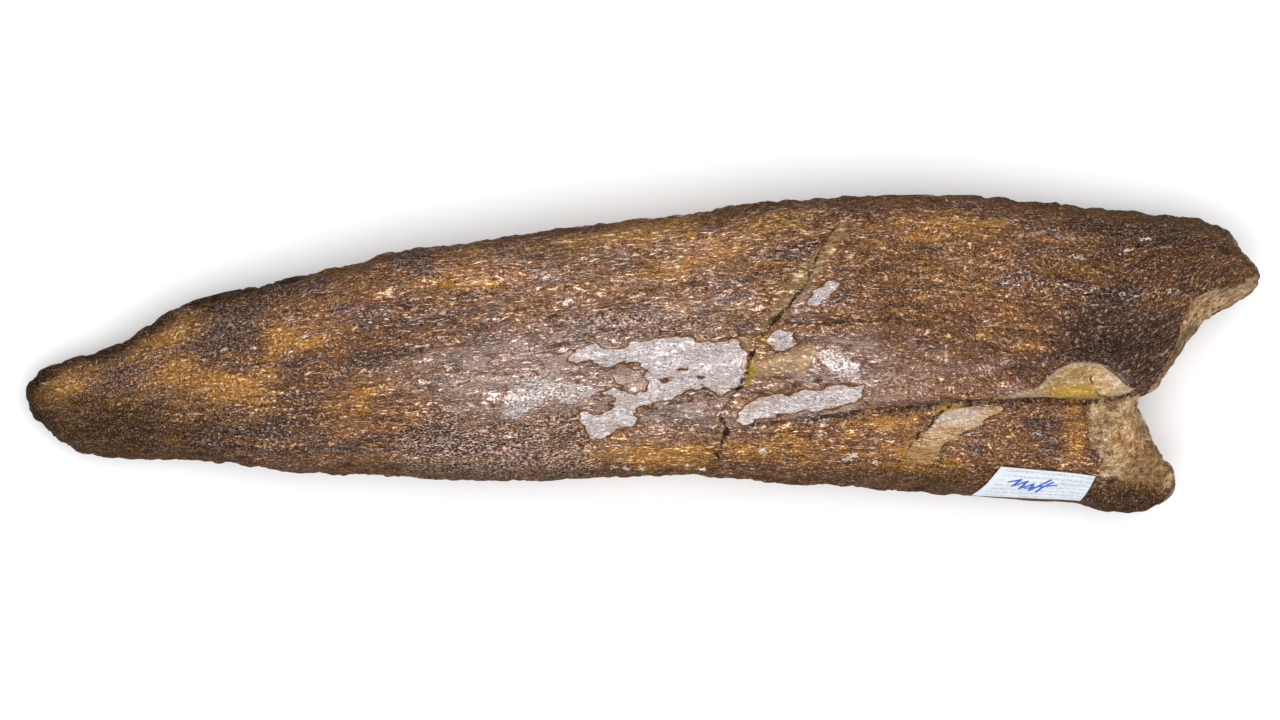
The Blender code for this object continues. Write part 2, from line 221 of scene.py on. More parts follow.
# The half-moon chip
CHIP = (
    ((1000, 398), (1018, 393), (1036, 388), (1046, 377), (1056, 368), (1068, 364), (1082, 362),
     (1098, 365), (1112, 373), (1132, 392), (1128, 398)),
)
# The pale flake, and the pale side of the chip
CHALK = (
    ((903, 458), (908, 445), (918, 436), (930, 424), (940, 412), (950, 407), (975, 405),
     (1000, 405), (1003, 410), (985, 418), (972, 428), (955, 436), (943, 444), (934, 456),
     (920, 462)),
    ((1090, 366), (1104, 368), (1116, 377), (1131, 392), (1122, 397), (1096, 396), (1088, 380)),
)
# Amber resin in the chip, along the crack and at the flake's end
RESIN = (
    ((1046, 393), (1056, 386), (1076, 384), (1092, 386), (1096, 397), (1050, 398)),
    ((742, 382), (746, 364), (752, 360), (758, 366), (752, 380), (746, 388)),
    ((934, 412), (938, 406), (950, 404), (962, 404), (954, 409), (942, 413)),
)
# Small holes
HOLES = (
    ((721, 428), (726, 427), (730, 431), (727, 438), (722, 439)),
    ((1131, 243), (1138, 241), (1142, 246), (1134, 249)),
)
# Broken faces, down to the tan inner bone
INNER = (
    ((1086, 400), (1124, 394), (1180, 394), (1200, 480), (1178, 484), (1160, 488), (1130, 482),
     (1100, 476), (1098, 456), (1088, 440)),
    ((1180, 330), (1190, 298), (1220, 290), (1250, 282), (1270, 276), (1262, 300), (1200, 350)),
)
# Where the grain glitters most, with painted glints
GLITTER = (
    ((400, 430), (440, 408), (480, 424), (530, 420), (566, 404), (606, 420), (604, 452), (596, 480),
     (400, 480)),
    ((560, 318), (610, 312), (700, 322), (730, 332), (640, 336), (580, 336)),
)
# Dark crust on the broken faces
CRUST = (
    ((1136, 404), (1150, 384), (1172, 344), (1180, 328), (1206, 326), (1200, 400), (1160, 412)),
    ((1190, 190), (1290, 190), (1290, 262), (1262, 272), (1250, 280), (1236, 284), (1212, 286),
     (1190, 280)),
    ((1096, 478), (1130, 488), (1170, 482), (1200, 476), (1200, 530), (1090, 530)),
)
# The olive filling along the crack
OLIVE = (
    ((838, 222), (848, 218), (846, 236), (832, 252), (822, 272), (812, 288), (800, 300), (782, 322),
     (770, 336), (760, 344), (756, 338), (764, 322), (770, 304), (778, 286), (792, 272), (806, 262),
     (818, 246), (828, 232)),
    ((718, 420), (726, 416), (734, 426), (732, 442), (722, 448), (716, 436)),
)

# The raised band between the crack and the break, which is smoother than the rest
EVEN = (
    ((812, 350), (850, 328), (930, 322), (1040, 304), (1188, 302), (1186, 330), (1150, 394), (1000, 400),
     (900, 404), (840, 412), (780, 424), (760, 410)),
)

# Lines over the outer face, in the photograph's pixels
CRACK = (
    (838, 222), (827, 236), (820, 246), (815, 260), (805, 284), (790, 302), (780, 316), (770, 326),
    (757, 342), (750, 357), (745, 372), (740, 385), (728, 402), (719, 416), (725, 430), (722, 440),
    (715, 460),
)
FISSURE = (
    (736, 430), (760, 423), (800, 420), (840, 415), (880, 409), (920, 407), (960, 402), (1000, 403),
    (1040, 400), (1080, 402), (1110, 400), (1134, 395),
)
SEAM = (
    (880, 292), (930, 286), (980, 284), (1010, 285), (1050, 288), (1090, 293), (1140, 294),
    (1190, 293), (1230, 290),
)
LEDGE = (
    (770, 320), (800, 324), (840, 322), (880, 320), (920, 314), (960, 312),
)
PALE_LINES = (
    ((500, 330), (520, 323), (545, 317), (590, 311), (640, 316), (690, 314), (720, 308)),
    ((369, 376), (388, 373), (405, 374)),
    ((394, 328), (420, 318), (451, 310)),
    ((1017, 236), (1040, 234), (1062, 239), (1086, 242)),
    ((604, 346), (640, 344), (668, 337)),
)
DARK_LINES = (
    ((515, 331), (560, 326), (620, 331), (660, 334)),
    ((738, 400), (760, 394), (790, 388), (820, 380)),
    ((640, 412), (670, 404), (700, 396), (722, 398)),
    ((430, 300), (470, 292), (500, 294)),
    ((800, 418), (850, 412), (905, 410)),
)
# The pale brink of the upper edge
BRINK = (
    (940, 198), (1000, 214), (1040, 234), (1080, 240),
)
# The notch in the far tip
NOTCH = ((1242, 236), (1233, 247), (1226, 250))
# The dark line at the flake's edge
CLEAVAGE = ((908, 446), (918, 434), (930, 422), (940, 411), (948, 406))

# Small pale specks, partly chalky bone and partly painted glints along the seam's edge: column, row and
# radius
SPECKS = (
    (42, 383, 1.9), (372, 375, 2.4), (365, 316, 1.9), (1071, 257, 2.8), (1078, 259, 2.2),
    (1003, 283, 3.2), (1016, 285, 2.6), (1064, 286, 2.4), (1090, 290, 3.0), (1120, 294, 2.2),
    (1133, 296, 2.6), (1163, 291, 2.4), (1175, 292, 2.2), (615, 467, 2.4), (627, 468, 2.6),
    (642, 467, 2.4), (686, 465, 2.2), (702, 468, 2.6), (762, 449, 4.2), (852, 455, 4.2),
    (870, 447, 2.8), (874, 462, 2.8), (846, 459, 3.2), (1144, 240, 3.0), (1126, 251, 2.8),
    (306, 336, 3.2), (330, 345, 2.4), (208, 389, 3.4), (292, 320, 2.6),
)

# The zones by the names that they are kept under
PATCHES = {
    "lens": LENS,
    "chip": CHIP,
    "chalk": CHALK,
    "resin": RESIN,
    "olive": OLIVE,
    "hole": HOLES,
    "crust": CRUST,
    "sheen": SHEEN,
    "glitter": GLITTER,
    "inner": INNER,
}
LINES = {
    "crack": (CRACK,),
    "fissure": (FISSURE,),
    "seam": (SEAM,),
    "ledge": (LEDGE,),
    "pale_line": PALE_LINES,
    "dark_line": DARK_LINES,
    "brink": (BRINK,),
    "cleavage": (CLEAVAGE,),
    "notch": (NOTCH,),
}

# Lines that stand out of the surface or sink into it: name, height, then how wide it is full and how
# wide it ends, in millimetres on each side
LINE_RISES = (
    ("crack", -0.5, 0.0, 0.8),
    ("ledge", -0.25, 0.0, 0.6),
    ("seam", -0.2, 0.0, 0.8),
    ("pale_line", 0.2, 0.0, 0.7),
    ("dark_line", -0.2, 0.0, 0.7),
    ("notch", -1.3, 0.2, 1.4),
)

# The label: its corners in the photograph's pixels, its grid, its thickness and its margins
LABEL_CORNERS = ((998, 464), (1095, 476), (1080, 499.5), (969, 495.5))
LABEL_COLUMNS = 200
LABEL_ROWS = 96
LABEL_SHEET = 0.14 * MM
LABEL_TRIM = 0.012
LABEL_LOWER_TRIM = 0.06
LABEL_LOOK = Vector((0.0, 0.72, -0.69))
LABEL_LOOK_FROM = 10 * MM

# The label's broken rules and its abstract pen mark, in millimetres from its lower left corner
RULE_SPACING_MM = 1.55
PEN_EDGE_MM = (0.32, 0.22)
PEN_STROKES = (
    ((3.6, 6.6), (5.4, 7.6), (4.8, 5.2), (6.8, 7.2), (6.4, 4.4), (8.2, 6.4), (8.4, 3.8)),
    ((8.4, 3.8), (9.6, 6.2), (10.8, 8.2)),
    ((7.4, 4.6), (9.6, 5.6), (12.4, 6.4)),
    ((9.8, 3.2), (10.2, 5.4), (11.4, 7.4)),
)

# Colours of the paper
PAPER = (0.6, 0.64, 0.69)
PAPER_STAIN = (0.52, 0.55, 0.59)
RULE_INK = (0.24, 0.25, 0.28)
PEN_INK = (0.012, 0.08, 0.38)
PAPER_BUMP = 0.02 * MM

# Colours of the grain: the ground, its pale crests and its dark gaps, plain, cool, warm and under the painted
# sheen
BODY = (0.42, 0.178, 0.074)
BODY_COOL = (0.222, 0.115, 0.086)
BODY_WARM = (0.64, 0.28, 0.066)
BODY_EVEN = (0.29, 0.138, 0.082)
BODY_SHEEN = (0.51, 0.36, 0.31)
PALE = (1.0, 0.65, 0.38)
PALE_COOL = (0.92, 0.67, 0.54)
PALE_WARM = (1.0, 0.68, 0.3)
PALE_SHEEN = (0.9, 0.8, 0.78)
GAP = (0.04, 0.016, 0.008)
GAP_WARM = (0.11, 0.034, 0.005)
GAP_SHEEN = (0.19, 0.115, 0.09)
CONTOUR = (0.1, 0.04, 0.012)
# Painted glints, and the glitter's dark grain with its painted glints
GLINT = (0.96, 0.78, 0.62)
GLITTER_DARK = (0.07, 0.036, 0.024)
GLITTER_LIGHT = (0.86, 0.66, 0.54)
# Dirt and painted shade on the flanks
EDGE_DIRT_AND_SHADE = (0.08, 0.036, 0.014)

# Colours of the painted sheen's veils, the two painted sheens, the glaze with its painted glare, and the
# lens. A pair is the dark and the light of one grain.
VEIL_SHEEN = (0.76, 0.56, 0.47)
VEIL_EDGE = (0.13, 0.052, 0.018)
SHEEN_COLOURS = ((0.4, 0.26, 0.2), (1.0, 0.9, 0.86))
SKIN_GLARE = ((0.5, 0.42, 0.405), (0.8, 0.76, 0.78))
SKIN_GRIT = (0.3, 0.22, 0.19)
SKIN_TINT = (0.52, 0.39, 0.32)
SKIN_PIT = (0.16, 0.1, 0.075)
HALO = (0.4, 0.175, 0.06)
OUTLINE = (0.085, 0.034, 0.012)
LENS_COLOURS = ((0.5, 0.28, 0.13), (0.9, 0.68, 0.45))
LENS_EDGE = (0.2, 0.08, 0.022)

# Colours of the broken faces, the chip, the flake and the fillings
INNER_COLOURS = ((0.53, 0.3, 0.135), (0.9, 0.64, 0.37))
INNER_WARM = (0.46, 0.21, 0.065)
CRUMB_DARK = (0.19, 0.092, 0.034)
CRUMB_LIGHT = (0.9, 0.69, 0.43)
CRUMB_LINE = (0.09, 0.045, 0.018)
CRUST_COLOURS = ((0.06, 0.028, 0.014), (0.28, 0.135, 0.06))
CHIP_COLOURS = ((0.33, 0.185, 0.062), (0.68, 0.47, 0.24))
CHIP_EDGE = (0.56, 0.47, 0.37)
FLAKE_TAN = ((0.68, 0.36, 0.15), (1.0, 0.7, 0.42))
# The flake under the painted sheen: partly its own whiter colour and partly painted sheen
FLAKE_WHITE_SHEEN = ((0.56, 0.36, 0.23), (0.98, 0.83, 0.71))
FLAKE_WARM = (0.5, 0.235, 0.07)
FLAKE_LINE = (0.26, 0.12, 0.045)
FLAKE_EDGE = (0.15, 0.07, 0.026)
RESIN_COLOURS = ((0.42, 0.215, 0.03), (0.7, 0.45, 0.11))
OLIVE_COLOURS = ((0.41, 0.235, 0.1), (0.9, 0.65, 0.37))
OLIVE_LINE = (0.12, 0.062, 0.02)
# Painted shade on the tip's steep upper rim
RIM_SHADE = ((0.018, 0.009, 0.005), (0.15, 0.072, 0.032))

# Colours of the lines, the specks and the holes
CRACK_COLOUR = (0.032, 0.018, 0.008)
FISSURE_COLOUR = (0.04, 0.022, 0.012)
LEDGE_COLOUR = (0.08, 0.036, 0.014)
CLEAVAGE_COLOUR = (0.035, 0.018, 0.008)
PALE_LINE_COLOUR = (0.62, 0.48, 0.4)
DARK_LINE_COLOUR = (0.05, 0.026, 0.015)
# Painted shadow under the seam's raised edge, and painted glints on that edge
SEAM_SHADOW = (0.05, 0.028, 0.022)
SEAM_GLINT = (0.78, 0.72, 0.64)
SPECK_COLOUR = (0.86, 0.79, 0.7)
HOLE_COLOUR = (0.022, 0.013, 0.007)
BRINK_COLOUR = (0.56, 0.46, 0.41)

# The bone's gloss and fine relief
BONE_IOR = 1.05
BONE_COAT = 0.03
BONE_COAT_ROUGHNESS = 0.25
BONE_BUMP = 0.6 * MM
BONE_COAT_BUMP = 0.2 * MM


def to_plan(pixel):
    """The point of the floor plan, in metres, under a pixel of the photograph."""
    column, row = pixel
    x = RIB_LOW.x + (column - PHOTO_TIP) * PIXEL
    y = (RIB_LOW.y + RIB_HIGH.y) / 2 + (PHOTO_MIDDLE_ROW - row) * PIXEL
    return x, y


def to_pixels(points):
    """Columns and rows of the photograph, for points in metres."""
    columns = PHOTO_TIP + (points[:, 0] - RIB_LOW.x) / PIXEL
    rows = PHOTO_MIDDLE_ROW - (points[:, 1] - (RIB_LOW.y + RIB_HIGH.y) / 2) / PIXEL
    return np.stack([columns, rows], axis=1)


def smoothstep(low, high, value):
    """0 below low and 1 above high, with a soft turn between them."""
    t = np.clip((value - low) / (high - low), 0.0, 1.0)
    return t * t * (3 - 2 * t)


def path_distance(places, path, closed=False):
    """Distance from each place to a path, in the units that both are in."""
    path = np.array(path, float)
    ends = np.roll(path, -1, axis=0) if closed else path[1:]
    starts = path if closed else path[:-1]
    nearest = np.full(len(places), np.inf)
    for start, end in zip(starts, ends):
        run = end - start
        t = np.clip((places - start) @ run / (run @ run), 0.0, 1.0)
        nearest = np.minimum(nearest, np.hypot(*(places - start - t[:, None] * run).T))
    return nearest


def distance_to_path(plan, path, closed=False):
    """Distance in millimetres from each plan point to a path, both given in pixels."""
    return path_distance(plan, path, closed) * PIXEL_MM


def depth_inside(plan, outlines):
    """Distance in millimetres to the edge of the outlines: above 0 inside them and below 0 outside."""
    best = np.full(len(plan), -np.inf)
    for outline in outlines:
        points = np.array(outline, float)
        inside = np.zeros(len(plan), bool)
        for (x0, y0), (x1, y1) in zip(points, np.roll(points, -1, axis=0)):
            if y0 == y1:
                continue
            crosses = (plan[:, 1] < max(y0, y1)) & (plan[:, 1] >= min(y0, y1))
            edge_x = x0 + (plan[:, 1] - y0) * (x1 - x0) / (y1 - y0)
            inside ^= crosses & (plan[:, 0] < edge_x)
        far = distance_to_path(plan, outline, closed=True)
        best = np.maximum(best, np.where(inside, far, -far))
    return best


def fractal(points, along, across, octaves, seed):
    """Noise of about -1 to 1 at each point in millimetres, stretched along the rib."""
    values = np.empty(len(points))
    for i, (x, y, z) in enumerate(points):
        place = Vector((x / along + seed, y / across, z / across))
        values[i] = noise.fractal(place, FRACTAL_FALL, FRACTAL_STEP, octaves)
    return values


def new_object(name, data):
    """An object in the scene that holds the mesh, light or camera."""
    obj = bpy.data.objects.new(name, data)
    bpy.context.scene.collection.objects.link(obj)
    return obj


def baked(obj):
    """Gives the object the mesh that its modifiers make, and takes the modifiers off."""
    graph = bpy.context.evaluated_depsgraph_get()
    mesh = bpy.data.meshes.new_from_object(obj.evaluated_get(graph))
    obj.modifiers.clear()
    obj.data = mesh


def positions(mesh):
    """The vertices' places, a row of three each."""
    places = np.empty(len(mesh.vertices) * 3)
    mesh.vertices.foreach_get("co", places)
    return places.reshape(-1, 3)


def normals(mesh):
    """The way out of the surface at each vertex, a row of three each."""
    directions = np.empty(len(mesh.vertices) * 3)
    mesh.vertex_normals.foreach_get("vector", directions)
    return directions.reshape(-1, 3)


def edge_pairs(mesh):
    """The two vertices of each edge."""
    pairs = np.empty(len(mesh.edges) * 2, np.int32)
    mesh.edges.foreach_get("vertices", pairs)
    return pairs.reshape(-1, 2)


def move_to(mesh, points):
    """Moves the vertices to these places."""
    mesh.vertices.foreach_set("co", points.ravel())
    mesh.update()


def store(mesh, name, values):
    """Keeps a number, or three, for each vertex."""
    values = np.asarray(values, np.float32)
    if values.ndim == 1:
        mesh.attributes.new(name, "FLOAT", "POINT").data.foreach_set("value", values)
    else:
        mesh.attributes.new(name, "FLOAT_VECTOR", "POINT").data.foreach_set("vector", values.ravel())


def smoothed(points, edges, weights, rounds):
    """Points drawn towards their neighbours' middle, as far as their weights let them."""
    count = len(points)
    both = np.concatenate([edges, edges[:, ::-1]])
    degree = np.bincount(both[:, 0], minlength=count)
    for _ in range(rounds):
        sums = [np.bincount(both[:, 0], points[both[:, 1], k], minlength=count) for k in range(3)]
        middle = np.stack(sums, axis=1) / degree[:, None]
        points = points + (middle - points) * (SMOOTHING_STEP * weights)[:, None]
    return points


def evened(values):
    """A row of values, each evened out with the two on either side of it."""
    return np.convolve(np.pad(values, 2, "edge"), np.ones(5) / 5, "valid")


def grain_places(points):
    """Places in millimetres for the grain, which bends with the rib's edges and its arch."""
    x, y, z = points.T / MM
    bins = np.linspace(x.min(), x.max(), GRAIN_SLICES + 1)
    centres = (bins[1:] + bins[:-1]) / 2
    which = np.clip(np.digitize(x, bins) - 1, 0, GRAIN_SLICES - 1)
    slices = [which == k for k in range(GRAIN_SLICES)]
    upper = evened([y[here].max() for here in slices])
    lower = evened([y[here].min() for here in slices])
    crest = evened([z[here].max() for here in slices])
    widest = (upper - lower).max()
    upper, lower, crest = (np.interp(x, centres, row) for row in (upper, lower, crest))
    follow = ((y - lower) / (upper - lower) - 0.5) * widest
    straight = y - (upper + lower) / 2
    across = GRAIN_FOLLOW * follow + (1 - GRAIN_FOLLOW) * straight
    return np.stack([x, across, z - crest], axis=1)


def wavered(grain):
    """The grain's places with a slow waver, and bent round towards the narrow tip."""
    grain = grain.copy()
    grain[:, 1] += GRAIN_WAVER_MM * fractal(grain, 9.0, 4.0, 2, 51.0)
    from_tip = grain[:, 0] - grain[:, 0].min()
    grain[:, 0] -= ROUND_GRAIN_BEND * np.maximum(ROUND_GRAIN_MM - from_tip, 0) ** 2 / ROUND_GRAIN_MM
    return grain


def remeshed_rib():
    """A finely remeshed copy of the bone's solid."""
    rib = new_object("rib_surface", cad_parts["rib_bone"].data.copy())
    remesh = rib.modifiers.new("remesh", "REMESH")
    remesh.mode = "VOXEL"
    remesh.voxel_size = VOXEL
    baked(rib)
    rib.data.materials.clear()
    return rib


def kept_share(points, plan, upward, past_break):
    """How far each point keeps out of the smoothing: at the breaks, the chip and the two ends."""
    near_detail = np.minimum(distance_to_path(plan, CRACK), distance_to_path(plan, FISSURE))
    near_detail = np.minimum(near_detail, distance_to_path(plan, CHIP[0], closed=True))
    keep = np.maximum(1 - smoothstep(*DETAIL_REACH_MM, near_detail), BREAK_KEPT * past_break)
    keep = keep * (upward > -0.2)
    return np.maximum(keep, 1 - smoothstep(*TIP_REACH_MM, (points[:, 0] - RIB_LOW.x) / MM))


def patch_zones(points, plan, out, grain, past_break):
    """For each patch, the millimetres from its edge: above 0 inside it and below 0 outside."""
    upward = out[:, 2]
    glaze = np.minimum(depth_inside(plan, GLAZE), -depth_inside(plan, GLAZE_HOLES))
    glaze += 0.75 * fractal(grain, 2.2, 1.2, 3, 11.0)
    zones = {"glaze": np.minimum(glaze, (upward - 0.1) * 12)}
    for name, outlines in PATCHES.items():
        zones[name] = np.minimum(depth_inside(plan, outlines), (upward - 0.05) * 12)
    zones["rim"] = np.minimum(depth_inside(plan, RIM), (upward + 0.1) * 3)
    zones["rim"] += 0.8 * fractal(points / MM, 5.0, 3.0, 3, 61.0)
    zones["crust"] = np.minimum(zones["crust"], (points[:, 2] / MM - CRUST_FLOOR_MM) * 0.4)
    zones["crust"] += 1.6 * fractal(points / MM, 4.0, 4.0, 3, 57.0)
    broken = smoothstep(0.4, 0.65, out[:, 0]) * past_break
    zones["inner"] = np.maximum(zones["inner"], (broken - 0.5) * 4)
    return zones


def line_zones(plan, upward):
    """The millimetres to each line, more where the surface turns down, and the specks."""
    below = (0.1 - np.minimum(upward, 0.1)) * 20
    zones = {}
    for name, paths in LINES.items():
        nearest = np.min([distance_to_path(plan, path) for path in paths], axis=0)
        zones[name] = np.minimum(nearest + below, FARTHEST_MM)
    depths = [
        0.8 * radius - np.hypot(0.7 * (plan[:, 0] - column), 1.5 * (plan[:, 1] - row))
        for column, row, radius in SPECKS
    ]
    zones["speck"] = np.maximum(np.max(depths, axis=0) * PIXEL_MM, -5.0) - below
    return zones


def soft_patches(plan, grain):
    """Warmth, lightness and painted sheen of the surface, each a sum of soft patches with wavering outlines.
    """
    waver_x = 9.0 * fractal(grain, 9.0, 5.0, 3, 21.0)
    waver_y = 6.0 * fractal(grain, 9.0, 5.0, 3, 33.0)
    warmth, lightness, painted_sheen = np.zeros((3, len(plan)))
    for column, row, half_length, half_width, turn, warm, light, sheen_veil in TONES:
        across = plan[:, 0] + waver_x - column
        down = plan[:, 1] + waver_y - row
        cosine, sine = math.cos(math.radians(turn)), math.sin(math.radians(turn))
        along_patch = (across * cosine - down * sine) / half_length
        over_patch = (across * sine + down * cosine) / half_width
        share = np.exp(-(along_patch ** 2 + over_patch ** 2) ** 1.4)
        warmth += warm * share
        lightness += light * share
        painted_sheen = painted_sheen + sheen_veil * share * (1 - painted_sheen)
    lightness += 0.3 * fractal(grain, 14.0, 7.0, 3, 41.0)
    warmth += 0.5 * fractal(grain, 11.0, 5.0, 3, 47.0)
    return warmth, lightness, painted_sheen


def surface_rise(points, grain, zones, upward, even):
    """How far each point rises out of the smooth surface, in millimetres."""
    top = smoothstep(0.0, 0.25, upward)
    roughness = 1 - 0.65 * smoothstep(-0.2, 0.5, zones["glaze"]) - 0.45 * even
    rise = 0.22 * fractal(grain, 13.0, 4.6, 3, 1.0)
    rise += 0.2 * fractal(grain, 4.0, 1.6, 3, 5.0) * np.clip(roughness, 0.2, 1)
    brow = smoothstep(0.3, 0.9, 1 - np.abs(upward)) * (points[:, 2] > RIB_LOW.z + BROW_FLOOR)
    rise += 0.65 * fractal(points / MM, 3.6, 2.4, 4, 7.0) * brow
    rise += 0.8 * fractal(points / MM, 3.4, 3.4, 3, 15.0) * smoothstep(-1.0, 0.5, zones["rim"])
    rise += 0.16 * smoothstep(-0.35, 0.25, zones["glaze"])
    rise += 0.35 * fractal(grain, 2.0, 2.0, 4, 9.0) * smoothstep(-0.5, 1.0, zones["inner"])
    rise -= 0.5 * (1 - smoothstep(0.0, 0.8, zones["fissure"])) * top
    for name, height, nearest, farthest in LINE_RISES:
        rise += height * (1 - smoothstep(nearest, farthest, zones[name]))
    rise -= 0.6 * smoothstep(-0.2, 0.4, zones["hole"])
    return np.minimum(rise, HIGHEST_RISE_MM)


def rib_surface():
    """The bone's fine surface, remeshed from its solid, smoothed and roughened, with its zones kept on it."""
    rib = remeshed_rib()
    mesh = rib.data
    points = positions(mesh)
    plan = to_pixels(points)
    past_break = smoothstep(*BREAK_STARTS_MM, (points[:, 0] - RIB_LOW.x) / MM)
    flat_foot = points[:, 2] < RIB_LOW.z + FOOT_HEIGHT
    keep = kept_share(points, plan, normals(mesh)[:, 2], past_break)
    keep = np.where(flat_foot, 1.0, keep)
    points = smoothed(points, edge_pairs(mesh), 1 - MOST_KEPT * keep, SMOOTHING_ROUNDS)
    move_to(mesh, points)

    out = normals(mesh)
    upward = out[:, 2]
    top = smoothstep(0.0, 0.25, upward)
    grain = grain_places(points)
    zones = patch_zones(points, plan, out, grain, past_break)
    zones.update(line_zones(plan, upward))
    even = smoothstep(-1.5, 1.5, depth_inside(plan, EVEN)) * top
    under_label = smoothstep(-2.5, -0.5, depth_inside(plan, (LABEL_CORNERS,))) * (out[:, 1] < 0)
    rise = surface_rise(points, grain, zones, upward, even) * (1 - 0.85 * under_label) * ~flat_foot
    points = points + out * (rise * MM)[:, None]
    points = np.clip(points, np.array(RIB_LOW), np.array(RIB_HIGH))
    move_to(mesh, points)
    mesh.shade_smooth()

    # Warmth, lightness with its painted light and shade, and the painted sheen
    warmth, lightness, painted_sheen = soft_patches(plan, grain)
    fibrous = smoothstep(*FIBROUS_FROM, plan[:, 0]) * (1 - 0.75 * smoothstep(*FIBROUS_TO, plan[:, 0]))
    kept_values = {
        **zones,
        "even": even,
        "warmth": warmth,
        "lightness": lightness,
        "painted_sheen": painted_sheen * top,
        "fibrous": fibrous,
        "flank": np.where(upward > 0, 1 - upward, 0.62 * (1 + upward)),
        "grain": wavered(grain),
        "place": points / MM,
    }
    for name, values in kept_values.items():
        store(mesh, name, values)
    return rib


class Shader:
    """A material's nodes, made one call at a time."""

    def __init__(self, name):
        self.material = bpy.data.materials.new(name)
        self.material.use_nodes = True
        self.tree = self.material.node_tree
        self.surface = self.tree.nodes["Principled BSDF"]

    def node(self, kind, **settings):
        node = self.tree.nodes.new(kind)
        for key, value in settings.items():
            setattr(node, key, value)
        return node

    def feed(self, socket, value):
        """Links a socket to another node's output, or sets its own value."""
        if isinstance(value, bpy.types.NodeSocket):
            self.tree.links.new(value, socket)
        elif isinstance(value, (tuple, list)) and len(value) == 3 and socket.type == "RGBA":
            socket.default_value = (*value, 1.0)
        else:
            socket.default_value = value

    def attribute(self, name, output="Fac"):
        return self.node("ShaderNodeAttribute", attribute_name=name).outputs[output]

    def math(self, operation, *values):
        node = self.node("ShaderNodeMath", operation=operation)
        for socket, value in zip(node.inputs, values):
            self.feed(socket, value)
        return node.outputs[0]

    def times(self, first, second):
        return self.math("MULTIPLY", first, second)

    def span(self, value, reach, base):
        """The value times reach, plus base."""
        return self.math("MULTIPLY_ADD", value, reach, base)

    def swayed(self, value, noise_value, reach):
        """The value, moved up or down by the noise by half the reach at most."""
        return self.span(self.math("SUBTRACT", noise_value, 0.5), reach, value)

    def vector_math(self, operation, first, second, second_socket=1):
        node = self.node("ShaderNodeVectorMath", operation=operation)
        self.feed(node.inputs[0], first)
        self.feed(node.inputs[second_socket], second)
        return node.outputs[0]

    def noise(self, vector, along, across, detail=2.0, roughness=0.55, distortion=0.0, seed=0.0):
        """Noise of 0 to 1 whose grains are this long and this wide, in the vector's own units."""
        place = self.vector_math("ADD", vector, (seed * 17.0, seed * 7.0, 0.0))
        place = self.vector_math("MULTIPLY", place, (1 / along, 1 / across, 1 / across))
        node = self.node("ShaderNodeTexNoise")
        self.feed(node.inputs["Vector"], place)
        self.feed(node.inputs["Scale"], 1.0)
        self.feed(node.inputs["Detail"], detail)
        self.feed(node.inputs["Roughness"], roughness)
        self.feed(node.inputs["Distortion"], distortion)
        return node.outputs["Fac"]

    def step(self, value, low, high):
        """0 below low and 1 above high, or the other way round where low is the larger."""
        node = self.node("ShaderNodeMapRange", interpolation_type="SMOOTHSTEP")
        self.feed(node.inputs["Value"], value)
        self.feed(node.inputs["From Min"], min(low, high))
        self.feed(node.inputs["From Max"], max(low, high))
        if low > high:
            self.feed(node.inputs["To Min"], 1.0)
            self.feed(node.inputs["To Max"], 0.0)
        return node.outputs["Result"]

    def mix(self, share, first, second):
        """The first colour where the share is 0 and the second where it is 1."""
        node = self.node("ShaderNodeMix", data_type="RGBA")
        self.feed(node.inputs["Factor"], share)
        self.feed(node.inputs[6], first)
        self.feed(node.inputs[7], second)
        return node.outputs[2]

    def blend(self, share, first, second):
        """The first number where the share is 0 and the second where it is 1."""
        node = self.node("ShaderNodeMix", data_type="FLOAT")
        self.feed(node.inputs["Factor"], share)
        self.feed(node.inputs[2], first)
        self.feed(node.inputs[3], second)
        return node.outputs[0]

    def doubled(self, colour, stops):
        """The colour made twice as bright for each stop, or half as bright for each stop below 0."""
        return self.vector_math("SCALE", colour, self.math("POWER", 2.0, stops), "Scale")

    def ridges(self, noise_value, width):
        """1 along the thin lines where the noise crosses its middle."""
        off_middle = self.math("ABSOLUTE", self.math("SUBTRACT", noise_value, 0.5))
        return self.step(off_middle, width, width * 0.2)

    def bump(self, height, distance):
        node = self.node("ShaderNodeBump")
        self.feed(node.inputs["Height"], height)
        self.feed(node.inputs["Distance"], distance)
        self.feed(node.inputs["Strength"], 1.0)
        return node.outputs["Normal"]


